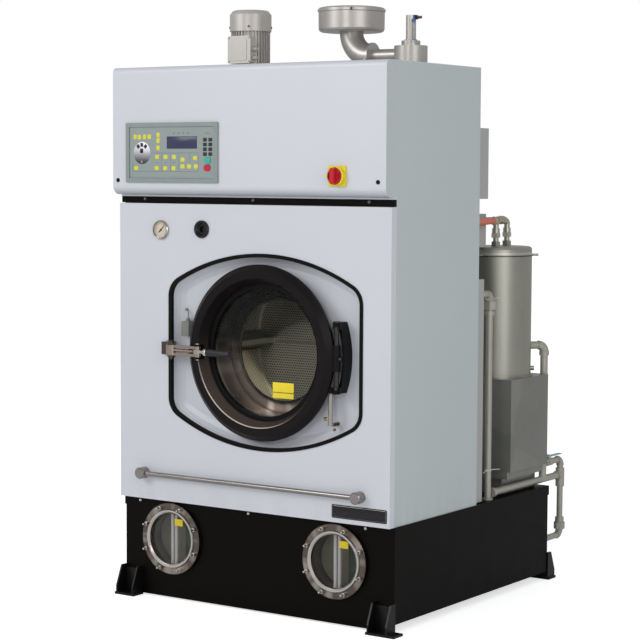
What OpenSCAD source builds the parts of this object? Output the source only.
// Dry cleaning machine: white front-loading cabinet on a black solvent-tank base,
// with the drying fan and vent on the roof and the recovery tank behind the cabinet.
// Frame: X to the right seen from the front, Y to the rear, Z up; millimetres.
// Origin: on the floor, at the centre of the four anchor-bolt holes.

/* [Base] */
// Width of the solvent-tank base over its cover
base_w = 1088; // [1000:4:1200]
// Depth of the base over its cover
base_d = 1018; // [900:2:1200]
// Height of the base's top above the floor
base_top = 336; // [300:1:400]
// Wall of the welded base tank
base_wall = 4; // [3:0.5:6]
// Height of the lip that the base cover folds down
cover_lip = 33; // [20:1:50]
// Gap between the floor and the front skirt of the base
skirt_gap = 5; // [3:1:12]
// Gap between the floor and the side walls and floor plate of the tank
side_gap = 29; // [20:1:60]

/* [Feet] */
// Half distance between the anchor holes across the machine
foot_x = 508; // [440:1:540]
// How far an anchor foot stands out from the base wall
foot_reach = 53; // [45:1:80]
// Width of an anchor foot over its two gussets
foot_w = 74; // [60:1:110]
// Height of the gussets above the floor
foot_h = 97; // [80:1:140]
// Radius of the anchor-bolt hole
anchor_r = 9; // [6:0.5:11]

/* [Sight windows] */
// Places of the two tank windows across the front
window_x = [-338, 321];
// Height of the window centres
window_z = 206; // [190:1:210]
// Outer radius of a window flange
window_r = 121; // [110:1:124]
// Radius of the window glass
window_glass_r = 89; // [70:1:92]
// Depth of the neck behind the glass
window_neck = 52; // [30:1:80]

/* [Cabinet] */
// How far the cabinet sits in from the base's edge on each side
cab_inset = 4; // [1:1:20]
// Depth of the cabinet behind the front panel's frame
cab_d = 510; // [490:1:540]
// Height of the roof above the floor
cab_top = 1776; // [1700:1:1900]
// Thickness of the sheet-metal panels
sheet = 2; // [1.5:0.5:3]
// How far the front panel stands out from the base
panel_proud = 27; // [20:1:40]
// Height of the front panel's top edge
panel_top = 1328; // [1300:1:1340]

/* [Control hood] */
// How far the hood stands out from the front panel
hood_proud = 35; // [25:1:60]
// Height of the hood's lower edge
hood_bottom = 1357; // [1353:1:1375]
// Rounding of the hood's lower front edge
hood_low_r = 30; // [10:1:34]
// Rounding of the hood's upper front edge
hood_top_r = 18; // [6:1:30]
// Height of the black trim strip
strip_h = 21; // [15:1:22]
// Width of the control panel frame
frame_w = 382; // [340:1:420]
// Height of the control panel frame
frame_h = 196; // [170:1:220]
// Centre of the control panel across the machine
frame_x = -289; // [-320:1:-250]
// Height of the control panel's centre
frame_z = 1495; // [1480:1:1520]
// Centre of the main isolator across the machine
isolator_x = 364; // [300:1:420]
// Height of the main isolator's centre
isolator_z = 1422; // [1410:1:1480]

/* [Door] */
// Centre of the door across the machine
door_x = 54; // [20:1:80]
// Height of the door's centre
door_z = 855; // [840:1:880]
// Outer radius of the door ring
ring_r = 284; // [270:1:290]
// Outer radius of the door ring's flat face
ring_face_r = 266; // [255:1:270]
// Radius of the door ring's opening
ring_hole_r = 238; // [234:1:246]
// How far the door ring's face stands in front of the panel
ring_proud = 33; // [25:1:45]
// Radius of the door glass
glass_r = 216; // [212:1:222]
// Thickness of the door glass
glass_t = 7.6; // [5:0.2:10]
// Half width of the barrel-shaped recess trim
trim_hw = 384; // [370:1:400]
// Half height of the recess trim at its middle
trim_hh = 318; // [305:1:330]
// Radius of the trim's long top and bottom arcs
trim_arc_r = 722; // [650:1:900]
// Radius of the trim's corners
trim_corner_r = 70; // [50:1:90]
// Depth of the recess behind the front panel's face
recess_depth = 36; // [32:1:40]
// Opening angle of the door, for reference
door_opening = 125; // [90:1:130]

/* [Drum] */
// Inner radius of the fixed outer drum
tub_r = 350; // [335:1:380]
// Outer radius of the perforated drum
drum_r = 327; // [300:1:330]
// Radius of the drum's mouth
mouth_r = 165; // [150:1:190]
// Radius of the throat behind the door glass
throat_r = 206; // [195:1:210]
// Depth of the drum from its front plate to its back
drum_depth = 313; // [260:1:315]
// Radius of the drum's shaft
shaft_r = 30; // [20:1:40]
// Radial running clearance of shafts in their bores
run_gap = 0.05; // [0.03:0.01:0.1]
// Belt seat radius of the drum pulley
big_pulley_r = 184; // [160:1:200]
// Ratio of the belt drive, drum pulley to motor pulley
belt_ratio = 5; // [4:0.1:6]

/* [Fan and vent] */
// Place of the drying fan's motor across the roof
fan_x = -181; // [-260:1:-100]
// Distance of the roof equipment behind the front panel's face
roof_back = 250; // [200:1:300]
// Radius of the fan motor's cowl
cowl_r = 69.5; // [66:0.5:80]
// Height of the fan motor above the roof
fan_h = 193; // [170:1:230]
// Place of the round vent filter across the roof
vent_x = 223; // [200:1:240]
// Radius of the vent filter
vent_r = 107; // [90:1:120]
// Place of the vent valve across the roof
valve_x = 448; // [440:1:460]
// Radius of the vent valve's body
valve_r = 53; // [45:1:60]
// Lift of the vent valve's plate
valve_lift = 12; // [6:1:16]

/* [Rear equipment] */
// Distance of the recovery tank's centre in from the cabinet's side
tank_in = 140; // [135:1:160]
// Centre of the recovery tank behind the origin
tank_y = 364; // [360:1:370]
// Radius of the recovery tank
tank_r = 125; // [110:1:127]
// Height of the recovery tank's rim
tank_rim = 1148; // [1000:1:1160]
// Height of the separator box's top
box_top = 732; // [600:1:760]
// Height of the separator box's underside
box_low = 415; // [412:1:440]
// Distance of the outside pipes in from the cabinet's side
pipe_in = 25; // [20:1:27]
// Radius of the steel water pipes
pipe_r = 11; // [8:0.5:11]
// Radius of the tank's return pipe
return_r = 13.5; // [10:0.5:14]
// Radius of the orange solvent hoses
hose_r = 11; // [8:0.5:13]

/* [Hidden] */
$fn = 64;

eps = 0.01;                                   // overlap of a cut past a face
fit_gap = 0.3;                                // gap between parts that only seat
half_w = base_w / 2;
half_d = base_d / 2;
cover_t = 3;                                  // sheet of the base cover
tank_hw = half_w - cover_t;                   // half width of the base tank
tank_hd = half_d - cover_t;                   // half depth of the base tank
cab_hw = half_w - cab_inset;                  // half width of the cabinet
cab_front = -half_d;                          // front edge of the side panels
cab_back = cab_front + cab_d;                 // rear face of the cabinet's flanges
panel_y = -half_d - panel_proud;              // face of the white front panel
hood_y = panel_y - hood_proud;                // face of the control hood
roof_y = panel_y + roof_back;                 // line of the fan and vent on the roof
tank_x = cab_hw - tank_in;                    // centre of the recovery tank
pipe_x = cab_hw - pipe_in;                    // plane of the outside pipes
rear_t = sheet;                               // sheet of the rear panel
rear_face = cab_back + rear_t;                // outside face of the rear panel
fold = 25;                                    // folded edges of the panels

// ---------- shape helpers ----------

module block(x0, x1, y0, y1, z0, z1) {
    translate([x0, y0, z0]) cube([x1 - x0, y1 - y0, z1 - z0]);
}
// 2D outline in X and Z, from y0 to y1
module along_y(y0, y1) {
    translate([0, y1, 0]) rotate([90, 0, 0]) linear_extrude(y1 - y0) children();
}
// 2D outline in Y and Z, from x0 to x1
module along_x(x0, x1) {
    translate([x0, 0, 0]) rotate([90, 0, 90]) linear_extrude(x1 - x0) children();
}
module rod_x(y, z, r, x0, x1) {
    translate([x0, y, z]) rotate([0, 90, 0]) cylinder(r = r, h = x1 - x0);
}
module rod_y(x, z, r, y0, y1) {
    translate([x, y1, z]) rotate([90, 0, 0]) cylinder(r = r, h = y1 - y0);
}
module rod_z(x, y, r, z0, z1) {
    translate([x, y, z0]) cylinder(r = r, h = z1 - z0);
}
// profile of [radius, y] points turned about a line along Y
module turn_y(x, z, points) {
    translate([x, 0, z]) rotate([-90, 0, 0]) rotate_extrude() polygon(points);
}
module tube_y(x, z, r_out, r_in, y0, y1) {
    difference() {
        rod_y(x, z, r_out, y0, y1);
        rod_y(x, z, r_in, y0 - 1, y1 + 1);
    }
}
module tube_z(x, y, r_out, r_in, z0, z1) {
    difference() {
        rod_z(x, y, r_out, z0, z1);
        rod_z(x, y, r_in, z0 - 1, z1 + 1);
    }
}
// corner piece that rounds the corner at the origin of the quadrant (sx, sy)
module corner_cut(r, sx, sy) {
    difference() {
        translate([sx > 0 ? -eps : -r, sy > 0 ? -eps : -r]) square(r + eps);
        translate([sx * r, sy * r]) circle(r);
    }
}
module round_rect(w, h, r) {
    difference() {
        translate([-w / 2, -h / 2]) square([w, h]);
        for (sx = [-1, 1], sy = [-1, 1])
            translate([sx * w / 2, sy * h / 2]) corner_cut(r, -sx, -sy);
    }
}
// quarter bend of a round bar that leaves the origin along +Z and turns to +X
module bend(r, rb) {
    translate([rb, 0, 0]) rotate([90, 0, 0]) rotate([0, 0, 90])
        rotate_extrude(angle = 90) translate([rb, 0]) circle(r);
}
// ---------- barrel outline of the door recess ----------

trim_centre = trim_arc_r - trim_hh;           // arc centre's distance from the middle
corner_x = trim_hw - trim_corner_r;
corner_z = sqrt(pow(trim_arc_r - trim_corner_r, 2) - corner_x * corner_x) - trim_centre;
module barrel(grow) {
    tangent_x = corner_x * (trim_arc_r + grow) / (trim_arc_r - trim_corner_r);
    translate([door_x, door_z]) {
        intersection() {
            translate([0, -trim_centre]) circle(trim_arc_r + grow);
            translate([0, trim_centre]) circle(trim_arc_r + grow);
            square([2 * tangent_x, 2 * trim_arc_r], center = true);
        }
        square([2 * (trim_hw + grow), 2 * corner_z], center = true);
        for (sx = [-1, 1], sz = [-1, 1])
            translate([sx * corner_x, sz * corner_z]) circle(trim_corner_r + grow);
    }
}
trim_w = 12;                                  // visible width of the rubber trim
trim_lip = 9;                                 // depth of the trim into the recess
trim_face = 3;                                // how far the trim stands on the panel
panel_cut = -9;                               // panel edge, from the trim's outside

// ---------- base ----------

module base_tank() {
    color("#1c1917") difference() {
        union() {
            difference() {
                block(-tank_hw, tank_hw, -tank_hd, tank_hd, side_gap, base_top - base_wall);
                block(-tank_hw + base_wall, tank_hw - base_wall, -tank_hd + base_wall,
                    tank_hd - base_wall, side_gap + base_wall, base_top);
            }
            block(-tank_hw, tank_hw, -tank_hd, -tank_hd + base_wall, skirt_gap, base_top - base_wall);
            // partition between the clean and the dirty solvent
            block(-base_wall / 2, base_wall / 2, -tank_hd, tank_hd, side_gap, base_top - base_wall);
            for (y = [-tank_hd / 3, tank_hd / 3])
                block(-tank_hw, tank_hw, y, y + base_wall, side_gap, side_gap + 60);
        }
        for (x = window_x)
            rod_y(x, window_z, window_neck_r + fit_gap, -tank_hd - 1, -tank_hd + base_wall + 1);
    }
}
module base_cover() {
    color("#1c1917") difference() {
        block(-half_w, half_w, -half_d, half_d, base_top - cover_lip, base_top);
        block(-tank_hw, tank_hw, -tank_hd, tank_hd, base_top - cover_lip - 1, base_top - base_wall);
    }
}
gusset_t = 6;
foot_plate_t = 8;
foot_step = 22;                               // reach of a gusset at its top
module anchor_foot(mirror_x, mirror_y, tail) {
    plate_y = tank_hd + foot_reach;
    scale([mirror_x, mirror_y, 1]) color("#161413") {
        difference() {
            block(foot_x - foot_w / 2 - 4, foot_x + foot_w / 2 + tail,
                tank_hd, plate_y, 0, foot_plate_t);
            rod_z(foot_x, anchor_y, anchor_r, -1, foot_plate_t + 1);
        }
        block(foot_x - foot_w / 2, foot_x + foot_w / 2, tank_hd, tank_hd + gusset_t,
            foot_plate_t - eps, foot_h - 10);
        for (x = [foot_x - foot_w / 2, foot_x + foot_w / 2 - gusset_t])
            along_x(x, x + gusset_t) polygon([[tank_hd, foot_plate_t - eps],
                [plate_y - 2, foot_plate_t - eps], [plate_y - 2, 30],
                [tank_hd + foot_step + 3, foot_h - 3], [tank_hd + foot_step, foot_h],
                [tank_hd, foot_h]]);
    }
}
anchor_y = tank_hd + foot_reach / 2 + 4.5;    // anchor holes from the middle
module anchor_feet() {
    anchor_foot(1, -1, 28);
    anchor_foot(-1, -1, 4);
    anchor_foot(1, 1, 4);
    anchor_foot(-1, 1, 4);
}

// ---------- tank windows ----------

window_neck_r = window_glass_r + 2;
window_pad_r = window_r - 2;
window_bevel_r = window_glass_r + 8;
window_glass_t = 6;
flange_back = -half_d - fit_gap;              // rear face of the window flanges
flange_t = 10;
module window_necks() {
    for (x = window_x) color("#8f8a80") {
        tube_y(x, window_z, window_neck_r, window_neck_r - 3, flange_back, flange_back + window_neck);
        rod_y(x, window_z, window_neck_r, flange_back + window_neck, flange_back + window_neck + 3);
        difference() {
            tube_y(x, window_z, window_pad_r, window_neck_r - 3, flange_back, -tank_hd);
            block(x - window_r, x + window_r, flange_back - 1, 0,
                base_top - cover_lip - fit_gap, base_top);
        }
        // pair of level tubes behind the glass
        for (side = [-1, 1])
            rod_z(x + side * 8, flange_back + 14, 6.5,
                window_z - window_glass_r, window_z + window_glass_r);
    }
}
stud_circle = 109;
module window_flanges() {
    front = flange_back - flange_t;
    for (x = window_x) color("#a49f94") {
        turn_y(x, window_z, [[window_glass_r - 2, flange_back - window_glass_t - fit_gap],
            [window_glass_r - 2, front - 1], [window_glass_r + 3, front - 5],
            [window_bevel_r, front - 5], [window_bevel_r + 2, front],
            [window_r - 1, front], [window_r, front + 1], [window_r, flange_back],
            [window_glass_r + fit_gap, flange_back],
            [window_glass_r + fit_gap, flange_back - window_glass_t - fit_gap]]);
        for (i = [0 : 7]) rotate_about_y(x, window_z, 22.5 + 45 * i)
            translate([stud_circle, 0, 0]) {
                rod_y(0, 0, 4, front - 20, front + 2);
                rod_y(0, 0, 7, front - 8, front, $fn = 6);
                translate([0, front - 20, 0]) sphere(4);
            }
    }
}
module rotate_about_y(x, z, turn) {
    translate([x, 0, z]) rotate([0, turn, 0]) children();
}
module window_glasses() {
    for (x = window_x) color("#c8d0cc", 0.35)
        rod_y(x, window_z, window_glass_r, flange_back - window_glass_t, flange_back);
}

// ---------- cabinet ----------

module side_panels() {
    for (side = [-1, 1]) scale([side, 1, 1]) color("#b4bcbc") {
        block(cab_hw - sheet, cab_hw, cab_front, cab_back, base_top, cab_top - sheet);
        for (y = [cab_front, cab_back - sheet])
            block(cab_hw - fold, cab_hw, y, y + sheet, base_top, cab_top - sheet);
        for (z = [base_top, cab_top - 2 * sheet])
            block(cab_hw - fold, cab_hw, cab_front, cab_back, z, z + sheet);
    }
}
duct_r = 38;                                  // radius of the vent duct
duct_z = cab_top + duct_r - 8;                // height of its level part
module roof_panel() {
    color("#b9bdbd") difference() {
        union() {
            block(-cab_hw, cab_hw, cab_front, cab_back, cab_top - sheet, cab_top);
            for (y = [cab_front / 1.6, cab_front / 6])
                block(-cab_hw + fold, cab_hw - fold, y, y + 30, cab_top - sheet - 12, cab_top - sheet);
        }
        rod_z(fan_x, roof_y, fan_hole_r, cab_top - 60, cab_top + 1);
        rod_z(fan_x, roof_y, fan_hole_r + 10, cab_top - 60, cab_top - sheet);
        rod_z(valve_x, roof_y, vent_port_r, cab_top - 60, cab_top + 1);
        block(vent_x - 10, vent_x + bend_r + 12, roof_y - duct_r + 8, roof_y + duct_r - 8,
            cab_top - 40, cab_top + 1);
    }
}
louvre_w = 90;
module rear_panel() {
    hw = cab_hw - 12;
    color("#a9adad") difference() {
        block(-hw, hw, cab_back, rear_face, base_top + 4, cab_top - 6);
        for (row = [0 : 7], x = [-360, -200])
            block(x, x + louvre_w, cab_back - 1, rear_face + 1,
                cab_top - 300 + 28 * row, cab_top - 292 + 28 * row);
    }
}
gauge_x = -362;
gauge_z = 1241;
gauge_r = 32;
gauge_body_r = 25;
sight_x = -192;
sight_z = 1246;
sight_r = 29;
sight_body_r = 22;
module front_panel() {
    color("#d4d6de") difference() {
        block(-cab_hw, cab_hw, panel_y, cab_front, base_top, panel_top);
        block(-cab_hw + sheet, cab_hw - sheet, panel_y + sheet, cab_front + 1,
            base_top + sheet, panel_top - sheet);
        along_y(panel_y - 1, panel_y + sheet + 1) barrel(panel_cut);
        rod_y(gauge_x, gauge_z, gauge_body_r + fit_gap, panel_y - 1, panel_y + 5);
        rod_y(sight_x, sight_z, sight_body_r + fit_gap, panel_y - 1, panel_y + 5);
    }
}

// dished white panel round the door: [share of the depth, outline change]
dish = [[0, -9], [0.28, -10], [0.56, -16], [0.81, -27], [1, -42]];
module dish_slice(share, grow, back) {
    y = panel_y + sheet + recess_depth * share + back;
    along_y(share > 0 ? y - 0.05 : y, share > 0 ? y : y + 0.05) hull() barrel_coarse(grow);
}
module barrel_coarse(grow) {
    tangent_x = corner_x * (trim_arc_r + grow) / (trim_arc_r - trim_corner_r);
    translate([door_x, door_z]) {
        intersection() {
            translate([0, -trim_centre]) circle(trim_arc_r + grow, $fn = 120);
            translate([0, trim_centre]) circle(trim_arc_r + grow, $fn = 120);
            square([2 * tangent_x, 2 * trim_arc_r], center = true);
        }
        for (sx = [-1, 1], sz = [-1, 1])
            translate([sx * corner_x, sz * corner_z]) circle(trim_corner_r + grow, $fn = 32);
    }
}
recess_hole_r = 254;
module recess_panel() {
    color("#dcdde2") difference() {
        union() {
            hull() for (d = dish) dish_slice(d[0], d[1] + sheet, d[0] == 1 ? sheet : 0);
            along_y(panel_y + sheet, panel_y + 2 * sheet) barrel(14);
        }
        hull() {
            for (d = dish) dish_slice(d[0], d[1], 0);
            translate([0, -1, 0]) dish_slice(0, panel_cut, 0);
        }
        rod_y(door_x, door_z, recess_hole_r, panel_y, panel_y + recess_depth + 10);
    }
}
module recess_trim() {
    color("#1b1b1e") {
        difference() {
            along_y(panel_y - trim_face, panel_y) barrel(0);
            along_y(panel_y - trim_face - 1, panel_y + 1) barrel(-trim_w);
        }
        difference() {
            along_y(panel_y - eps, panel_y + sheet) barrel(panel_cut - fit_gap);
            along_y(panel_y - 1, panel_y + sheet + 1) barrel(-trim_w);
        }
        difference() {
            along_y(panel_y, panel_y + sheet + trim_lip) barrel(panel_cut - 1.5);
            along_y(panel_y - 1, panel_y + sheet + trim_lip + 1) barrel(-trim_w);
        }
    }
}

// ---------- control hood ----------

module hood_profile(t) {
    low_r = hood_low_r - t;
    top_r = hood_top_r - t;
    difference() {
        translate([hood_y + t, hood_bottom + t])
            square([cab_front - hood_y - t + (t > 0 ? 1 : 0), cab_top - hood_bottom - 2 * t]);
        translate([hood_y + t, hood_bottom + t]) corner_cut(low_r, 1, 1);
        translate([hood_y + t, cab_top - t]) corner_cut(top_r, 1, -1);
    }
}
neck_y = cab_front - 19;                      // front of the neck under the hood
neck_h = 6;
frame_cut = 12;                               // frame border around the cut-out
tray_w = frame_w - 2 * frame_cut;
tray_h = frame_h - 2 * frame_cut;
module control_hood() {
    color("#d6d8df") difference() {
        union() {
            difference() {
                along_x(-cab_hw, cab_hw) hood_profile(0);
                along_x(-cab_hw + sheet, cab_hw - sheet) hood_profile(sheet);
            }
            block(-cab_hw, cab_hw, neck_y, cab_front, hood_bottom - neck_h, hood_bottom + sheet);
        }
        block(frame_x - tray_w / 2 - fit_gap, frame_x + tray_w / 2 + fit_gap, hood_y - 1,
            hood_y + sheet + 1, frame_z - tray_h / 2 - fit_gap, frame_z + tray_h / 2 + fit_gap);
        rod_y(isolator_x, isolator_z, 8, hood_y - 1, hood_y + sheet + 1);
    }
}
module trim_strip() {
    front = neck_y + 3;
    low = hood_bottom - neck_h - strip_h;
    color("#191514") difference() {
        block(-cab_hw, cab_hw, front, cab_front, low, low + strip_h);
        block(-cab_hw + 3, cab_hw - 3, front + 3, cab_front + 1, low + 3, low + strip_h - 3);
    }
}
rail_x = 432;
rail_z = 425;
rail_reach = 36;
rail_r = 8;
module hand_rail() {
    color("#a8a49e") {
        for (side = [-1, 1]) {
            rod_y(side * rail_x, rail_z, 18, panel_y - rail_reach + 2, panel_y);
            translate([side * rail_x, 0, rail_z]) turn_y(0, 0, [[0, panel_y - rail_reach],
                [16, panel_y - rail_reach], [19, panel_y - rail_reach + 3],
                [19, panel_y - 3], [0, panel_y - 3]]);
        }
        rod_x(panel_y - rail_reach / 2 - 2, rail_z, rail_r, -rail_x, rail_x);
    }
}

// ---------- control panel ----------

bezel = 6;                                    // how far the frame stands out
tray_y = hood_y - 1;                          // front of the tray behind the overlay
overlay_t = 1.5;
lcd_x = -246;
lcd_z = 1527.5;
lcd_w = 122;
lcd_h = 37;
start_x = -140;
start_z = 1469;
stop_x = -141.5;
stop_z = 1446;
button_rx = 13.5;
button_rz = 10.5;
module frame_rect(w, h, y0, y1) {
    translate([frame_x, 0, frame_z]) along_y(y0, y1) round_rect(w, h, 2);
}
module oval(x, z, rx, rz, y0, y1) {
    translate([x, 0, z]) along_y(y0, y1) union() {
        for (side = [-1, 1]) translate([side * (rx - rz), 0]) circle(rz);
        square([2 * (rx - rz), 2 * rz], center = true);
    }
}
module control_frame() {
    color("#98a29e") difference() {
        union() {
            frame_rect(frame_w, frame_h, hood_y - bezel, hood_y);
            frame_rect(tray_w, tray_h, hood_y - 1, hood_y + 24);
        }
        frame_rect(tray_w - 4, tray_h - 4, hood_y - bezel - 1, tray_y);
        frame_rect(tray_w - 8, tray_h - 8, tray_y + 3, hood_y + 25);
        translate([lcd_x, 0, lcd_z]) along_y(hood_y - 10, hood_y + 10) round_rect(lcd_w, lcd_h, 1);
        oval(start_x, start_z, button_rx + 0.5, button_rz + 0.5, hood_y - 10, hood_y + 10);
        oval(stop_x, stop_z, button_rx + 0.5, button_rz + 0.5, hood_y - 10, hood_y + 10);
    }
}
module control_overlay() {
    color("#9aa8a2") {
        difference() {
            frame_rect(tray_w - 5, tray_h - 5, tray_y - overlay_t, tray_y);
            oval(start_x, start_z, button_rx + 0.5, button_rz + 0.5, hood_y - 10, hood_y);
            oval(stop_x, stop_z, button_rx + 0.5, button_rz + 0.5, hood_y - 10, hood_y);
        }
        // display module behind its window
        translate([lcd_x, 0, lcd_z]) along_y(tray_y - eps, tray_y + 12)
            round_rect(lcd_w - 1, lcd_h - 1, 1);
        // eight programme keys, moulded with the overlay
        for (col = [0, 1], row = [0 : 3])
            translate([-150.8 + 21.8 * col, 0, 1536.4 - 15.5 * row])
                along_y(tray_y - overlay_t - 0.8, tray_y - overlay_t + eps) round_rect(15, 12, 3);
    }
}
button_out = 2.5;
module push_button(x, z) {
    oval(x, z, button_rx, button_rz, tray_y - overlay_t - button_out, tray_y + 6);
    oval(x, z, button_rx + 3, button_rz + 0.5, tray_y + 3, tray_y + 6);
}
module start_button() { color("#3caf9b") push_button(start_x, start_z); }
module stop_button() { color("#be283c") push_button(stop_x, stop_z); }

isolator_w = 64;
isolator_t = 8;
module isolator_plate() {
    color("#e1cd28") difference() {
        translate([isolator_x, 0, isolator_z]) union() {
            along_y(hood_y - isolator_t + 2, hood_y) round_rect(isolator_w, isolator_w, 5);
            rod_y(0, 0, 30, hood_y - isolator_t, hood_y - isolator_t + 3);
        }
        rod_y(isolator_x, isolator_z, 6 + run_gap, hood_y - isolator_t - 1, hood_y + 1);
    }
}
module isolator_knob() {
    face = hood_y - isolator_t - fit_gap;
    color("#b91e2d") translate([isolator_x, 0, isolator_z]) difference() {
        union() {
            turn_y(0, 0, [[0, face - 14], [22, face - 14], [25, face - 12], [26, face - 9],
                [26, face], [0, face]]);
            along_y(face - 27, face - 13) union() {
                square([15, 36], center = true);
                for (side = [-1, 1]) translate([0, side * 18]) circle(7.5);
            }
            rod_y(0, 0, 6, face - 1, hood_y + 20);
        }
        for (side = [-1, 1]) along_y(face - 15, face - 9) translate([side * 19, 0])
            round_rect(6, 20, 2.5);
    }
}

// ---------- gauge and vapour sight ----------

module gauge_case() {
    color("#b8b4ac") turn_y(gauge_x, gauge_z, [[3 + run_gap, panel_y + 24],
        [3 + run_gap, panel_y - 2], [gauge_r - 6, panel_y - 2], [gauge_r - 6, panel_y - 6],
        [gauge_r - 4, panel_y - 6], [gauge_r - 4, panel_y - 9], [gauge_r - 2, panel_y - 9],
        [gauge_r, panel_y - 6], [gauge_r, panel_y], [gauge_body_r, panel_y],
        [gauge_body_r, panel_y + 24]]);
}
module gauge_glass() {
    color("#dfe6e6", 0.35) rod_y(gauge_x, gauge_z, gauge_r - 4.2, panel_y - 7.5, panel_y - 6);
}
needle_angle = 45;                            // rest direction of the needle
module gauge_needle() {
    color("#2a2622") rotate_about_y(gauge_x, gauge_z, -needle_angle) union() {
        rod_y(0, 0, 3, panel_y - 4.5, panel_y + 10);
        along_y(panel_y - 4, panel_y - 3) polygon([[-12, -1.6], [-12, 1.6], [19, 0.5], [19, -0.5]]);
    }
}
module vapour_sight() {
    color("#1d1c1d") difference() {
        turn_y(sight_x, sight_z, [[0, panel_y + 18], [0, panel_y + 2], [16, panel_y + 2],
            [21, panel_y - 6], [23, panel_y - 8], [27, panel_y - 8], [sight_r, panel_y - 5],
            [sight_r, panel_y], [sight_body_r, panel_y], [sight_body_r, panel_y + 18]]);
        rod_y(sight_x, sight_z, 12, panel_y, panel_y + 12);
    }
}

// ---------- outer tub, drum and drive ----------

function back(d) = panel_y + d;               // distance d behind the panel's face
throat_front = 31;                            // tub flange, behind the panel's face
tub_front = 100;
drum_front = 112;
drum_back = drum_front + drum_depth;
tub_back = drum_back + 18;
tub_wall = 3;
housing_back = tub_back + tub_wall + 56;
pulley_front = housing_back + 6;
pulley_w = 22;
module outer_tub() {
    color("#7d756b") {
        difference() {
            turn_y(door_x, door_z, [[throat_r, back(throat_front)],
                [recess_hole_r - 3, back(throat_front)], [recess_hole_r - 3, back(throat_front + 12)],
                [throat_r + 5, back(throat_front + 12)], [throat_r + 5, back(tub_front)],
                [tub_r + tub_wall, back(tub_front)], [tub_r + tub_wall, back(tub_back + tub_wall)],
                [shaft_r + 12, back(tub_back + tub_wall)], [shaft_r + 12, back(tub_back)],
                [tub_r, back(tub_back)], [tub_r, back(tub_front + tub_wall)],
                [throat_r, back(tub_front + tub_wall)]]);
        }
        // two saddles that carry the tub on the base
        for (d = [tub_front + 25, tub_front + 140]) difference() {
            along_y(back(d), back(d + 6)) translate([door_x, 0]) polygon([[-270, base_top],
                [270, base_top], [300, door_z - tub_r * 0.6], [-300, door_z - tub_r * 0.6]]);
            rod_y(door_x, door_z, tub_r + tub_wall - 1, back(d) - 1, back(d) + 7);
        }
        // stiffening bands round the tub
        for (d = [tub_front + 80, tub_front + 250])
            tube_y(door_x, door_z, tub_r + tub_wall + 6, tub_r + tub_wall - 1, back(d), back(d + 8));
    }
}
module bearing_housing() {
    color("#5b5d60") difference() {
        union() {
            rod_y(door_x, door_z, 100, back(tub_back + tub_wall), back(tub_back + tub_wall + 12));
            rod_y(door_x, door_z, 62, back(tub_back + tub_wall), back(housing_back));
            for (i = [0 : 5]) rotate_about_y(door_x, door_z, 60 * i)
                block(50, 92, back(tub_back + tub_wall), back(housing_back - 14), -4, 4);
        }
        rod_y(door_x, door_z, shaft_r + run_gap, back(tub_back) - 5, back(housing_back) + 1);
    }
}
drum_wall = 2;
module drum() {
    lip = 6;
    color("#a39c92") {
        difference() {
            turn_y(door_x, door_z, [[mouth_r, back(drum_front - 4)], [mouth_r + lip, back(drum_front - 8)],
                [mouth_r + 2 * lip, back(drum_front - 4)], [mouth_r + 2 * lip, back(drum_front)],
                [drum_r - 14, back(drum_front + 10)], [drum_r, back(drum_front + 24)],
                [drum_r, back(drum_back)], [shaft_r + run_gap, back(drum_back)],
                [shaft_r + run_gap, back(drum_back - 3)],
                [drum_r - drum_wall, back(drum_back - 3)], [drum_r - drum_wall, back(drum_front + 25)],
                [drum_r - 15, back(drum_front + 12)], [mouth_r + lip, back(drum_front + 2)],
                [mouth_r, back(drum_front - 1)]]);
        }
        // three lifters inside the drum
        for (i = [0 : 2]) rotate_about_y(door_x, door_z, 60 + 120 * i)
            along_y(back(drum_front + 40), back(drum_back - 2)) intersection() {
                polygon([[drum_r - 70, -9], [drum_r - 70, 9], [drum_r + 2, 36], [drum_r + 2, -36]]);
                circle(drum_r - drum_wall / 2);
            }
    }
}
module drum_shaft() {
    color("#8a8c8e") {
        // three-arm spider bolted to the drum's back
        for (i = [0 : 2]) rotate_about_y(door_x, door_z, 120 * i)
            block(20, drum_r - 20, back(drum_back), back(drum_back + 12), -22, 22);
        rod_y(door_x, door_z, 70, back(drum_back), back(drum_back + 14));
        rod_y(door_x, door_z, shaft_r, back(drum_back - 3), back(pulley_front + pulley_w + 2));
    }
}
// grooved pulley: seat radius r, width pulley_w, from the pulley plane
module pulley(x, z, r, bore) {
    difference() {
        turn_y(x, z, [[bore, back(pulley_front)], [r + 6, back(pulley_front)],
            [r + 6, back(pulley_front + 1.5)], [r, back(pulley_front + 3)],
            [r, back(pulley_front + pulley_w - 3)], [r + 6, back(pulley_front + pulley_w - 1.5)],
            [r + 6, back(pulley_front + pulley_w)], [bore, back(pulley_front + pulley_w)]]);
    }
}
small_pulley_r = big_pulley_r / belt_ratio;
motor_x = -120;
motor_z = base_top + 92;
motor_r = 70;
motor_shaft_r = 12;
motor_front = 275;
module drum_pulley() {
    color("#4a4c4e") difference() {
        pulley(door_x, door_z, big_pulley_r, shaft_r + run_gap);
        for (i = [0 : 4]) rotate_about_y(door_x, door_z, 72 * i)
            rod_y(115, 0, 42, back(pulley_front) - 1, back(pulley_front + pulley_w) + 1);
    }
}
module belt_loop(grow) {
    big_n = 120;
    small_n = 48;
    hull() {
        translate([door_x, door_z]) circle((big_pulley_r + grow) / cos(180 / big_n), $fn = big_n);
        translate([motor_x, motor_z])
            circle((small_pulley_r + grow) / cos(180 / small_n), $fn = small_n);
    }
}
module drive_belt() {
    color("#202020") along_y(back(pulley_front + 3.5), back(pulley_front + pulley_w - 3.5))
        difference() {
            belt_loop(run_gap + 5);
            belt_loop(run_gap);
        }
}
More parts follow.
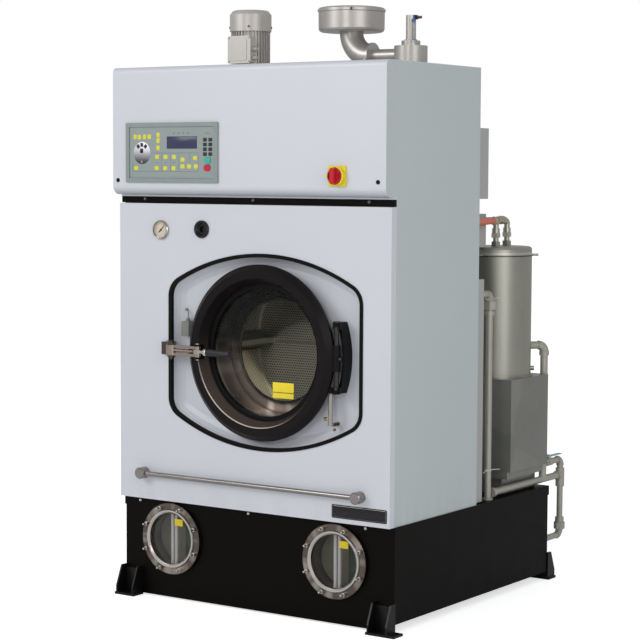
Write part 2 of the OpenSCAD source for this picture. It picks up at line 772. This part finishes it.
module drive_motor() {
    back_end = back(housing_back - 6);
    color("#5d6a70") difference() {
        union() {
            rod_y(motor_x, motor_z, motor_r - 6, back(motor_front), back_end);
            for (i = [0 : 23]) rotate_about_y(motor_x, motor_z, 15 * i)
                block(motor_r - 10, motor_r, back(motor_front + 20), back_end - 25, -1.2, 1.2);
            rod_y(motor_x, motor_z, motor_r, back_end - 20, back_end - 8);
            for (side = [-1, 1])
                block(motor_x + side * 50 - 20, motor_x + side * 50 + 20, back(motor_front + 40),
                    back_end - 40, base_top, motor_z - motor_r + 26);
        }
        rod_y(motor_x, motor_z, motor_shaft_r + run_gap, back_end - 80, back_end + 1);
    }
}
module motor_pulley() {
    color("#4a4c4e") {
        pulley(motor_x, motor_z, small_pulley_r, motor_shaft_r - 1);
        rod_y(motor_x, motor_z, motor_shaft_r, back(housing_back - 80), back(pulley_front + pulley_w));
    }
}

// ---------- door ----------

seat_r = glass_r + 14;                        // pocket for the glass and its seal
door_rear = 24;                               // rear face of the door ring
hinge_x = door_x + ring_r + 10;               // hinge axis beside the ring
hinge_y = panel_y - 12;
pin_r = 8;
knuckle_r = 12;
knuckle_h = 42;                               // half height of the door's knuckle
lug_z = 102;                                  // middle of the bracket's end lugs
function ring_y(d) = panel_y + d;
module door_ring() {
    color("#2b2424") difference() {
        union() {
            turn_y(door_x, door_z, [[ring_hole_r, ring_y(-ring_proud + 2)],
                [ring_hole_r + 2, ring_y(-ring_proud)], [ring_face_r, ring_y(-ring_proud)],
                [ring_r, ring_y(-ring_proud + 16)], [ring_r, ring_y(-8)],
                [ring_r - 14, ring_y(2)], [recess_hole_r - 4, ring_y(8)],
                [recess_hole_r - 4, ring_y(door_rear)], [seat_r, ring_y(door_rear)],
                [seat_r, ring_y(6)], [throat_r + 16, ring_y(6)], [throat_r + 16, ring_y(0)]]);
            // knuckle and arm of the hinge
            rod_z(hinge_x, hinge_y, knuckle_r, door_z - knuckle_h, door_z + knuckle_h);
            block(hinge_x - 24, hinge_x, hinge_y - 8, hinge_y + 8,
                door_z - knuckle_h, door_z + knuckle_h);
            // lug that the latch works on
            block(latch_x - 16, latch_x + 13, ring_y(-ring_proud - 6), ring_y(-ring_proud + 1),
                latch_z - 24, latch_z + 24);
            for (side = [-1, 1]) {
                z = latch_z + side * 21;
                rod_z(latch_x, latch_y, 11, z - 3, z + 3);
                block(latch_x - 11, latch_x + 11, latch_y, ring_y(-ring_proud), z - 3, z + 3);
            }
            // lug that the door lock's pin enters
            block(lock_x - 12, lock_x + 9, lock_y - 9, lock_y + 9, lug_low, lug_low + 18);
        }
        rod_z(hinge_x, hinge_y, pin_r + run_gap, door_z - knuckle_h - 1, door_z + knuckle_h + 1);
        rod_z(lock_x, lock_y, lock_pin_r + 0.5, lug_low - 1, lug_low + 19);
        rod_z(latch_x, latch_y, latch_pin_r + run_gap, latch_z - 25, latch_z + 25);
    }
}
module door_glass() {
    color("#aab0ac", 0.3) rod_y(door_x, door_z, glass_r, ring_y(12), ring_y(12 + glass_t));
}
module door_seal() {
    g = ring_y(12);
    color("#161616") {
        turn_y(door_x, door_z, [[throat_r, ring_y(7.5)], [throat_r + 3, ring_y(6.3)],
            [seat_r - fit_gap, ring_y(6.3)], [seat_r - fit_gap, ring_y(door_rear)],
            [throat_r + 4, ring_y(door_rear)], [throat_r + 4, g + glass_t + fit_gap],
            [glass_r + fit_gap, g + glass_t + fit_gap], [glass_r + fit_gap, g - fit_gap],
            [throat_r, g - fit_gap]]);
        // gasket between the ring and the tub's flange
        turn_y(door_x, door_z, [[seat_r + 3, ring_y(door_rear)], [recess_hole_r - 6, ring_y(door_rear)],
            [recess_hole_r - 8, ring_y(throat_front - fit_gap)],
            [seat_r + 5, ring_y(throat_front - fit_gap)]]);
    }
}
crescent_r = 320;                             // outer radius of the hinge bracket
crescent_in = 309.5;
module hinge_bracket() {
    low = door_z - lug_z - 10;
    high = door_z + lug_z + 10;
    foot_y = panel_y + sheet + recess_depth;
    color("#141313") difference() {
        union() {
            intersection() {
                tube_y(door_x, door_z, crescent_r, crescent_in, panel_y - 25, foot_y);
                block(door_x + 250, door_x + crescent_r + 1, panel_y - 29, foot_y + 1, low, high);
            }
            for (side = [-1, 1]) {
                z = door_z + side * lug_z;
                rod_z(hinge_x, hinge_y, knuckle_r + 1, z - 10, z + 10);
                intersection() {
                    block(hinge_x - knuckle_r - 1, hinge_x + 40, hinge_y, foot_y, z - 10, z + 10);
                    rod_y(door_x, door_z, crescent_r, hinge_y, foot_y);
                }
            }
        }
        block(hinge_x - 30, hinge_x + 60, panel_y - 40, panel_y - 4,
            door_z - lug_z + 11, door_z + lug_z - 11);
        rod_z(hinge_x, hinge_y, pin_r + run_gap, low - 1, high + 1);
    }
}
module hinge_pin() {
    color("#77777a") {
        rod_z(hinge_x, hinge_y, pin_r, door_z - lug_z - 10, door_z + lug_z + 11);
        rod_z(hinge_x, hinge_y, pin_r + 4, door_z + lug_z + 10, door_z + lug_z + 14);
    }
}

// ---------- door latch ----------

latch_z = 850;
latch_x = -169;                               // pin that carries lever and link
latch_y = ring_y(-ring_proud - 6) - 14 - fit_gap;
keeper_x = -283;                              // pin on the machine that the claw takes
keeper_y = panel_y - 47;
keeper_r = 5;
latch_pin_r = 5;
latch_span = norm([keeper_x - latch_x, keeper_y - latch_y]);
claw_r = 17;
module latch_bracket() {
    plate_back = panel_y - trim_face - fit_gap;
    color("#3a3734") {
        block(-352, -296, plate_back - 9, plate_back, latch_z - 21, latch_z + 21);
        block(-352, -333, plate_back - 1, panel_y, latch_z - 21, latch_z + 21);
        for (side = [-1, 1]) {
            z = latch_z + side * 22;
            hull() {
                block(-330, -296, plate_back - 9, plate_back, z - 3, z + 3);
                rod_z(keeper_x, keeper_y, 11, z - 3, z + 3, $fn = 32);
            }
        }
        rod_z(keeper_x, keeper_y, keeper_r, latch_z - 31, latch_z + 31);
    }
}
// the link is drawn along -X from the latch pin, then turned to the keeper
module latch_link() {
    color("#b5b1aa") translate([latch_x, latch_y, latch_z])
        rotate([0, 0, atan2(keeper_y - latch_y, keeper_x - latch_x) - 180]) difference() {
            union() {
                for (side = [-1, 1]) {
                    block(-latch_span + 10, 0, -6, 6, side * 12.5 - 4.5, side * 12.5 + 4.5);
                    rod_z(0, 0, 11, side * 12.5 - 4.5, side * 12.5 + 4.5);
                }
                rod_z(-latch_span, 0, claw_r, -17, 17);
            }
            // claw slot, open towards the machine
            block(-latch_span - keeper_r - 2, -latch_span + keeper_r + 2, 0, 40, -20, 20);
            rod_z(-latch_span, 0, keeper_r + 2, -20, 20);
            rod_z(0, 0, latch_pin_r + run_gap, -20, 20);
        }
}
lever_tilt = 5;                               // lever's slant away from the door
module latch_lever() {
    color("#c3bfb8") translate([latch_x, latch_y, latch_z]) {
        rod_z(0, 0, 14, -7.5, 7.5);
        rod_z(0, 0, latch_pin_r, -28, 25);
        rod_z(0, 0, latch_pin_r + 2, 24, 27);
        rotate([0, 0, -lever_tilt]) {
            rod_x(0, 0, 6, 8, 46);
            translate([26, 0, 0]) rotate([0, 90, 0]) rotate_extrude()
                polygon([[0, 0], [9, 0], [13, 8], [13, 12], [10, 16], [0, 16]]);
        }
    }
}
module latch_grip() {
    color("#1f1e20") translate([latch_x, latch_y, latch_z]) rotate([0, 0, -lever_tilt])
        translate([42.3, 0, 0]) rotate([0, 90, 0]) rotate_extrude() difference() {
            polygon([[0, 0], [11, 0], [12.5, 10], [11, 60], [8.5, 88], [7, 96], [4, 98], [0, 98]]);
            translate([0, -1]) square([6 + run_gap, 5]);
        }
}

// ---------- door switch and lock ----------

switch_x = -286;
switch_z0 = 892;
module door_switch() {
    floor_y = panel_y + sheet + recess_depth;
    gland_x = switch_x + 18;
    color("#7d8076") block(switch_x, switch_x + 30, floor_y - 28, floor_y, switch_z0, switch_z0 + 48);
    color("#141414") {
        rod_z(gland_x, floor_y - 14, 7, switch_z0 + 48, switch_z0 + 56);
        rod_z(gland_x, floor_y - 14, 5, switch_z0 + 56, switch_z0 + 60);
        // cable: up, over to the left and into the white panel
        rod_z(gland_x, floor_y - 14, 2, switch_z0 + 58, cable_z - 8);
        translate([gland_x, floor_y - 14, cable_z - 8]) rotate([0, 0, 180]) bend(2, 8);
        translate([gland_x - 8, floor_y - 8, cable_z]) rotate([0, 0, 180])
            rotate_extrude(angle = 90) translate([6, 0]) circle(2);
        rod_y(gland_x - 14, cable_z, 4.5, floor_y - 8, floor_y);
    }
}
cable_z = 978;
lock_x = 321;
lock_y = panel_y - 4;
lock_pin_r = 4;
lug_low = door_z - 111;                       // underside of the lock lug
lock_top = lug_low - 7;
lock_bottom = lock_top - 96;
module lock_cylinder() {
    floor_y = panel_y + sheet + recess_depth;
    color("#b9b6ae") difference() {
        union() {
            rod_z(lock_x, lock_y, 7.5, lock_bottom, lock_top);
            rod_z(lock_x, lock_y, 8.5, lock_bottom, lock_bottom + 10);
            rod_x(lock_y, lock_bottom + 20, 4, lock_x - 20, lock_x);
            rod_x(lock_y, lock_bottom + 20, 5.5, lock_x - 24, lock_x - 14, $fn = 6);
            block(lock_x - 6, lock_x + 6, lock_y, floor_y, lock_bottom - 3, lock_bottom + 7);
        }
        rod_z(lock_x, lock_y, lock_pin_r + run_gap, lock_bottom + 30, lock_top + 1);
    }
}
module lock_pin() {
    color("#d0cdc6") rod_z(lock_x, lock_y, lock_pin_r, lock_bottom + 45, lug_low - 3);
}

// ---------- drying fan ----------

fan_hole_r = 16;
fan_shaft_r = 10;
frame_r = cowl_r - 7;                         // fan motor's frame without its fins
cowl_low = cab_top + fan_h - 70;
module fan_motor() {
    color("#b3afa6") difference() {
        union() {
            rod_z(fan_x, roof_y, cowl_r + 8, cab_top, cab_top + 8);
            rod_z(fan_x, roof_y, frame_r - 4, cab_top, cowl_low + 8);
            block(fan_x - 22, fan_x + 22, pad_y, roof_y, cab_top + 7, cab_top + 101);
            for (i = [0 : 35]) translate([fan_x, roof_y, 0]) rotate([0, 0, 10 * i])
                block(frame_r - 6, frame_r + 3, -1.3, 1.3,
                    cab_top + (cos(10 * i + 90) < 0.55 ? 7 : 106), cowl_low + 4);
        }
        rod_z(fan_x, roof_y, fan_shaft_r + run_gap, cab_top - 1, cowl_low + 9);
    }
}
module fan_cowl() {
    top = cab_top + fan_h;
    color("#aaa69e") difference() {
        translate([fan_x, roof_y, 0]) rotate_extrude() polygon([[frame_r + 4, cowl_low],
            [cowl_r, cowl_low], [cowl_r, top - 14], [cowl_r - 10, top - 2], [cowl_r - 16, top],
            [0, top], [0, top - 2], [cowl_r - 17, top - 2], [cowl_r - 12, top - 4],
            [cowl_r - 2, top - 15], [cowl_r - 2, cowl_low + 6], [frame_r + 4, cowl_low + 6]]);
        for (i = [0 : 11]) translate([fan_x, roof_y, 0]) rotate([0, 0, 30 * i])
            block(14, cowl_r - 22, -3, 3, top - 5, top + 1);
    }
    // three arms that hold the cowl on the motor's end shield
    color("#aaa69e") for (i = [0 : 2]) translate([fan_x, roof_y, 0]) rotate([0, 0, 90 + 120 * i])
        block(frame_r - 8, cowl_r - 1, -5, 5, cowl_low + 8, cowl_low + 12);
}
pad_y = roof_y - frame_r - 2;                 // seat of the terminal box
box_face = pad_y - 35;                        // front of the fan's terminal box
box_w = 93;
box_h = 90;
module fan_terminal_box() {
    right = fan_x - 22 + box_w;
    color("#c3beb8") {
        translate([right - box_w / 2, 0, cab_top + 14 + box_h / 2]) {
            along_y(box_face + 4, pad_y) round_rect(box_w - 4, box_h - 4, 5);
            along_y(box_face + 1.5, box_face + 4 + eps) round_rect(box_w, box_h, 7);
            along_y(box_face, box_face + 1.5 + eps) round_rect(box_w - 30, box_h - 18, 8);
        }
        for (z = [cab_top + 32, cab_top + 60]) {
            rod_x(box_face + 20, z, 9, right - 3, right + 8, $fn = 6);
            rod_x(box_face + 20, z, 6, right + 8, right + 14);
        }
    }
}
module fan_rotor() {
    wheel_z = cab_top - 90;
    color("#8e9092") {
        rod_z(fan_x, roof_y, fan_shaft_r, wheel_z - 10, cab_top + fan_h - 14);
        rod_z(fan_x, roof_y, 112, wheel_z - 2, wheel_z);
        tube_z(fan_x, roof_y, 112, 86, wheel_z + 50, wheel_z + 52);
        for (i = [0 : 17]) translate([fan_x, roof_y, 0]) rotate([0, 0, 20 * i])
            translate([98, 0, wheel_z - eps]) rotate([0, 0, 35])
                block(-15, 15, -1, 1, 0, 50 + 2 * eps);
        // cooling fan under the cowl
        rod_z(fan_x, roof_y, 22, cowl_low + 20, cowl_low + 40);
        for (i = [0 : 7]) translate([fan_x, roof_y, 0]) rotate([0, 0, 45 * i])
            block(18, cowl_r - 12, -1, 1, cowl_low + 20, cowl_low + 40);
    }
}

// ---------- vent on the roof ----------

bend_r = 78;
pan_low = cab_top + 108;
pan_top = pan_low + 78;
bend_z = duct_z + bend_r;
module vent_filter() {
    color("#bdb8af") {
        translate([vent_x, roof_y, 0]) rotate_extrude() polygon([[0, pan_low], [vent_r - 9, pan_low],
            [vent_r - 3, pan_low + 3], [vent_r - 0.5, pan_low + 9], [vent_r, pan_top - 16],
            [vent_r - 1.5, pan_top - 15], [vent_r + 1, pan_top - 14], [vent_r + 1, pan_top - 5],
            [vent_r - 3, pan_top - 1.5], [vent_r - 10, pan_top], [0, pan_top]]);
        translate([vent_x, roof_y, bend_z]) rotate([180, 0, 0]) bend(duct_r, bend_r);
        rod_z(vent_x, roof_y, duct_r + 2, bend_z, pan_low + 1);
        rod_x(roof_y, duct_z, duct_r + 4, vent_x + bend_r, vent_x + bend_r + 7);
        rod_x(roof_y, duct_z, 20, vent_x + bend_r + 3, valve_x - valve_r + 6);
        // stand under the duct's flange
        block(vent_x + bend_r + 1, vent_x + bend_r + 6, roof_y - 48, roof_y + 48, cab_top, duct_z - 10);
    }
}
valve_h = 57;
seat_z = cab_top + 5;
vent_port_r = 17;                             // port under the vent valve's plate
module vent_valve() {
    color("#bcb8b1") difference() {
        rod_z(valve_x, roof_y, valve_r, cab_top, cab_top + valve_h);
        rod_z(valve_x, roof_y, valve_r - 5, seat_z, cab_top + valve_h - 6);
        rod_z(valve_x, roof_y, vent_port_r, cab_top - 1, seat_z + 1);
        rod_z(valve_x, roof_y, vent_rod_r + run_gap, cab_top + valve_h - 10, cab_top + valve_h + 1);
        rod_x(roof_y, duct_z, 20 + fit_gap, valve_x - valve_r - 5, valve_x - 30);
    }
}
vent_rod_r = 4;
cylinder_low = cab_top + valve_h;
piston_r = 12;
module vent_cylinder() {
    color("#c2bfb6") difference() {
        union() {
            rod_z(valve_x, roof_y, 30, cylinder_low, cylinder_low + 16);
            rod_z(valve_x, roof_y, 20, cylinder_low + 16, cylinder_low + 20);
            rod_z(valve_x, roof_y, 16, cylinder_low + 20, cylinder_low + 96);
        }
        rod_z(valve_x, roof_y, vent_rod_r + run_gap, cylinder_low - 1, cylinder_low + 30);
        rod_z(valve_x, roof_y, piston_r + run_gap, cylinder_low + 24, cylinder_low + 86);
    }
    // head with its side port, collet and air tube
    color("#2f302e") {
        block(valve_x - 4, valve_x + 24, roof_y - 15, roof_y + 4, cylinder_low + 82, cylinder_low + 95.5);
        rod_x(roof_y - 6, cylinder_low + 88, 4.5, valve_x + 24, valve_x + 42);
        rod_z(valve_x + 20, roof_y - 14, 4.5, cylinder_low + 74, cylinder_low + 84);
        rod_z(valve_x + 20, roof_y - 14, 2.5, cylinder_low + 26, cylinder_low + 76);
        translate([valve_x + 20, roof_y - 14, cylinder_low + 26])
            rotate([180, 0, 180]) bend(2.5, 14);
    }
}
module vent_plate() {
    color("#9a9a98") {
        rod_z(valve_x, roof_y, 24, seat_z, seat_z + 5);
        rod_z(valve_x, roof_y, vent_rod_r, seat_z, cylinder_low + 60);
        rod_z(valve_x, roof_y, piston_r, cylinder_low + 40, cylinder_low + 52);
    }
}

// ---------- equipment behind the cabinet ----------

duct_box_x = cab_hw - 115;
duct_box_y = 248;
strip_x = cab_hw - 37;
strip_d = 56;
feed_z = 1031;                                // top bend of the feed pipe
strip_top = feed_z + 52;
power_low = cab_top - 428;                    // electrical box high on the rear panel
power_high = cab_top - 195;
module rear_boxes() {
    color("#8b8e8e") {
        difference() {
            block(cab_hw - 260, cab_hw - 20, rear_face, rear_face + 89, power_low, power_high);
            block(cab_hw - 257, cab_hw - 23, rear_face - 1, rear_face + 86, power_low + 3, power_high - 3);
        }
        difference() {
            block(cab_hw - 240, duct_box_x, rear_face, duct_box_y, hose_z - 85, hose_z + 25);
            block(cab_hw - 237, duct_box_x - 3, rear_face - 1, duct_box_y - 3, hose_z - 82, hose_z + 22);
        }
        difference() {
            block(strip_x, strip_x + 26, rear_face, strip_d, base_top + 4, strip_top);
            block(strip_x + 2, strip_x + 24, rear_face - 1, strip_d - 2, base_top + 6, strip_top - 2);
        }
    }
}
module recovery_tank() {
    color("#8c897d") difference() {
        union() {
            rod_z(tank_x, tank_y, tank_r, box_top, tank_rim);
            rod_z(tank_x, tank_y, tank_r + 6, box_top, box_top + 6);
            translate([tank_x, tank_y, 0]) rotate([0, 0, 34])
                rod_x(0, box_top + 24, 8, tank_r - 5, tank_r + 12);
        }
        rod_z(tank_x, tank_y, tank_r - 3, box_top + 6, tank_rim + 1);
    }
}
lid_top = tank_rim + 33;
fitting_a = [tank_x + 11, tank_y - 22];
fitting_b = [tank_x - 10, tank_y + 94];
hose_z = lid_top + 89;
module lid_fitting(at, turn) {
    translate([at[0], at[1], 0]) {
        rod_z(0, 0, 17, lid_top - 1, lid_top + 16, $fn = 6);
        rod_z(0, 0, 10, lid_top, lid_top + 74);
        rod_z(0, 0, 16, lid_top + 30, lid_top + 46, $fn = 8);
        rod_z(0, 0, 13.5, lid_top + 46, lid_top + 62);
        translate([0, 0, hose_z - 16]) rotate([0, 0, turn]) {
            bend(11, 16);
            translate([16, 0, 16]) rotate([0, 90, 0]) cylinder(r = 12.5, h = 8);
            translate([22, 0, 16]) rotate([0, 90, 0]) cylinder(r = hose_r + 3, h = 8);
        }
    }
}
module tank_lid() {
    color("#97948a") {
        translate([tank_x, tank_y, 0]) rotate_extrude() polygon([[0, tank_rim],
            [tank_r + 3, tank_rim], [tank_r + 3, tank_rim + 6], [tank_r, tank_rim + 7],
            [tank_r, lid_top - 9], [tank_r - 3, lid_top - 3], [tank_r - 9, lid_top], [0, lid_top]]);
        for (i = [0 : 2]) translate([tank_x, tank_y, 0]) rotate([0, 0, 34 + 120 * i])
            difference() {
                block(tank_r - 4, tank_r + 22, -9, 9, tank_rim, tank_rim + 8);
                rod_z(tank_r + 13, 0, 4, tank_rim - 1, tank_rim + 9);
            }
        lid_fitting(fitting_a, hose_a_turn);
        lid_fitting(fitting_b, hose_b_turn);
    }
}
box_x0 = cab_hw - 290;
box_x1 = cab_hw;
box_y0 = 231;
box_y1 = 498;
module separator_box() {
    color("#807f7c") {
        difference() {
            union() {
                block(box_x0, box_x1, box_y0, box_y1, box_low, box_top);
                block(box_x0 + 12, box_x1 - 12, box_y0, box_y1 - 12, box_low - 25, box_low + 1);
                // plinth on the base
                block(box_x0 + 14, pipe_x - 15, box_y0 + 14, box_y1 - 14, base_top, box_low - 24);
            }
            block(box_x0 + 3, box_x1 - 3, box_y0 + 3, box_y1 - 3, box_low + 3, box_top - 3);
            block(box_x0 + 17, pipe_x - 18, box_y0 + 17, box_y1 - 17, base_top - 1, box_low - 28);
        }
    }
}
tee_y = 646;
return_y = box_y1 + return_r + 1;
low_z = base_top + 20;                        // long level pipe above the base
level_r = 12.5;
valve_z = 412;
feed_y = 120;
elbow_r = 24;
// pipe elbow from a vertical pipe that comes from below, or from above
module elbow(at, turn, r, from_below) {
    translate(at) rotate([0, 0, turn]) rotate([from_below ? 0 : 180, 0, 0]) bend(r, elbow_r);
}
module rear_pipework() {
    inlet_z = 139;
    stub = [tank_x - pipe_x, tank_y - return_y];
    stub_turn = atan2(stub[1], stub[0]);
    stub_z = 832;
    color("#96948a") {
        // feed pipe beside the cabinet
        rod_z(pipe_x, feed_y, 18, base_top, base_top + 6);
        rod_z(pipe_x, feed_y, pipe_r, base_top, feed_z - elbow_r);
        rod_z(pipe_x, feed_y, 16, feed_z - 72, feed_z - 58);
        rod_z(pipe_x, feed_y, 22, feed_z - 52, feed_z - elbow_r, $fn = 6);
        elbow([pipe_x, feed_y, feed_z - elbow_r], -90, pipe_r + 2.5, true);
        rod_y(pipe_x, feed_z, pipe_r, strip_d, feed_y - elbow_r + 1);
        // long level pipe and its blind end
        rod_y(pipe_x, low_z, level_r, box_y0 - 76, tee_y);
        rod_y(pipe_x, low_z, level_r + 4, box_y0 - 86, box_y0 - 70);
        // return pipe from the recovery tank
        rod_z(pipe_x, return_y, return_r, low_z, stub_z - elbow_r);
        rod_z(pipe_x, return_y, return_r + 4, stub_z - elbow_r - 12, stub_z - elbow_r + 2);
        elbow([pipe_x, return_y, stub_z - elbow_r], stub_turn, return_r + 2.5, true);
        difference() {
            translate([pipe_x, return_y, stub_z]) rotate([0, 0, stub_turn])
                rod_x(0, 0, return_r, elbow_r - 1, norm(stub) - tank_r + 3);
            rod_z(tank_x, tank_y, tank_r, stub_z - 30, stub_z + 30);
        }
        // branch with the ball valve
        rod_y(pipe_x, valve_z, pipe_r, return_y, lever_y - 15);
        rod_y(pipe_x, valve_z, pipe_r, lever_y + 15, tee_y - elbow_r + 1);
        rod_y(pipe_x, valve_z, 14, return_y + 14, return_y + 24);
        difference() {
            union() {
                rod_y(pipe_x, valve_z, 15, lever_y - 16, lever_y + 16, $fn = 8);
                rod_z(pipe_x, lever_y, 8, valve_z, lever_z - fit_gap);
            }
            rod_z(pipe_x, lever_y, 4 + run_gap, valve_z + 12, lever_z + 1);
        }
        elbow([pipe_x, tee_y, valve_z - elbow_r], -90, pipe_r + 2.5, true);
        // drop to the base with its tee and union
        rod_z(pipe_x, tee_y, pipe_r, inlet_z + elbow_r - 1, valve_z - elbow_r + 1);
        rod_z(pipe_x, tee_y, 16, low_z - 42, low_z + 24);
        rod_y(pipe_x, low_z, 15.5, tee_y - 30, tee_y);
        rod_z(pipe_x, tee_y, 21, 160, 184, $fn = 8);
        rod_z(pipe_x, tee_y, 16, 184, 202);
        elbow([pipe_x, tee_y, inlet_z + elbow_r], -90, pipe_r + 2, false);
        rod_y(pipe_x, inlet_z, pipe_r, tank_hd, tee_y - elbow_r + 1);
        rod_y(pipe_x, inlet_z, 20, tank_hd, tank_hd + 5);
    }
}
lever_y = 556;
lever_z = 430;
module valve_lever() {
    color("#96beb4") difference() {
        union() {
            block(pipe_x - 8, pipe_x + 8, lever_y - 12, lever_y + 86, lever_z, lever_z + 4);
            rod_z(pipe_x, lever_y, 4, valve_z + 13, lever_z + 8);
            rod_z(pipe_x, lever_y, 6.5, lever_z, lever_z + 8, $fn = 6);
        }
        rod_z(pipe_x, lever_y + 76, 3, lever_z - 1, lever_z + 5);
    }
}
hose_a_start = [cab_hw - 22, rear_face, hose_z];
hose_b_start = [tank_x - 32, duct_box_y, hose_z];
hose_a_turn = atan2(hose_a_start[1] - fitting_a[1], hose_a_start[0] - fitting_a[0]);
hose_b_turn = atan2(hose_b_start[1] - fitting_b[1], hose_b_start[0] - fitting_b[0]);
module hose(from, fitting, turn) {
    reach = norm([from[0] - fitting[0], from[1] - fitting[1]]) - 30 - fit_gap;
    tip = [fitting[0] + (30 + fit_gap) * cos(turn), fitting[1] + (30 + fit_gap) * sin(turn), hose_z];
    translate(tip) rotate([0, 90, turn]) cylinder(r = hose_r, h = reach);
}
module solvent_hoses() {
    color("#cd5532") {
        intersection() {
            hose(hose_a_start - [0, 20, 0], fitting_a, hose_a_turn);
            block(0, 1000, rear_face + fit_gap, 1000, 0, 2000);
        }
        intersection() {
            hose(hose_b_start - [0, 20, 0], fitting_b, hose_b_turn);
            block(0, 1000, duct_box_y + fit_gap, 1000, 0, 2000);
        }
    }
}

base_tank();
base_cover();
anchor_feet();
window_necks();
window_flanges();
window_glasses();
side_panels();
roof_panel();
rear_panel();
front_panel();
recess_panel();
recess_trim();
control_hood();
trim_strip();
hand_rail();
control_frame();
control_overlay();
start_button();
stop_button();
isolator_plate();
isolator_knob();
gauge_case();
gauge_glass();
gauge_needle();
vapour_sight();
outer_tub();
bearing_housing();
drum();
drum_shaft();
drum_pulley();
drive_belt();
drive_motor();
motor_pulley();
door_ring();
door_glass();
door_seal();
hinge_bracket();
hinge_pin();
latch_bracket();
latch_link();
latch_lever();
latch_grip();
door_switch();
lock_cylinder();
lock_pin();
fan_motor();
fan_cowl();
fan_terminal_box();
fan_rotor();
vent_filter();
vent_valve();
vent_cylinder();
vent_plate();
rear_boxes();
recovery_tank();
tank_lid();
separator_box();
rear_pipework();
valve_lever();
solvent_hoses();
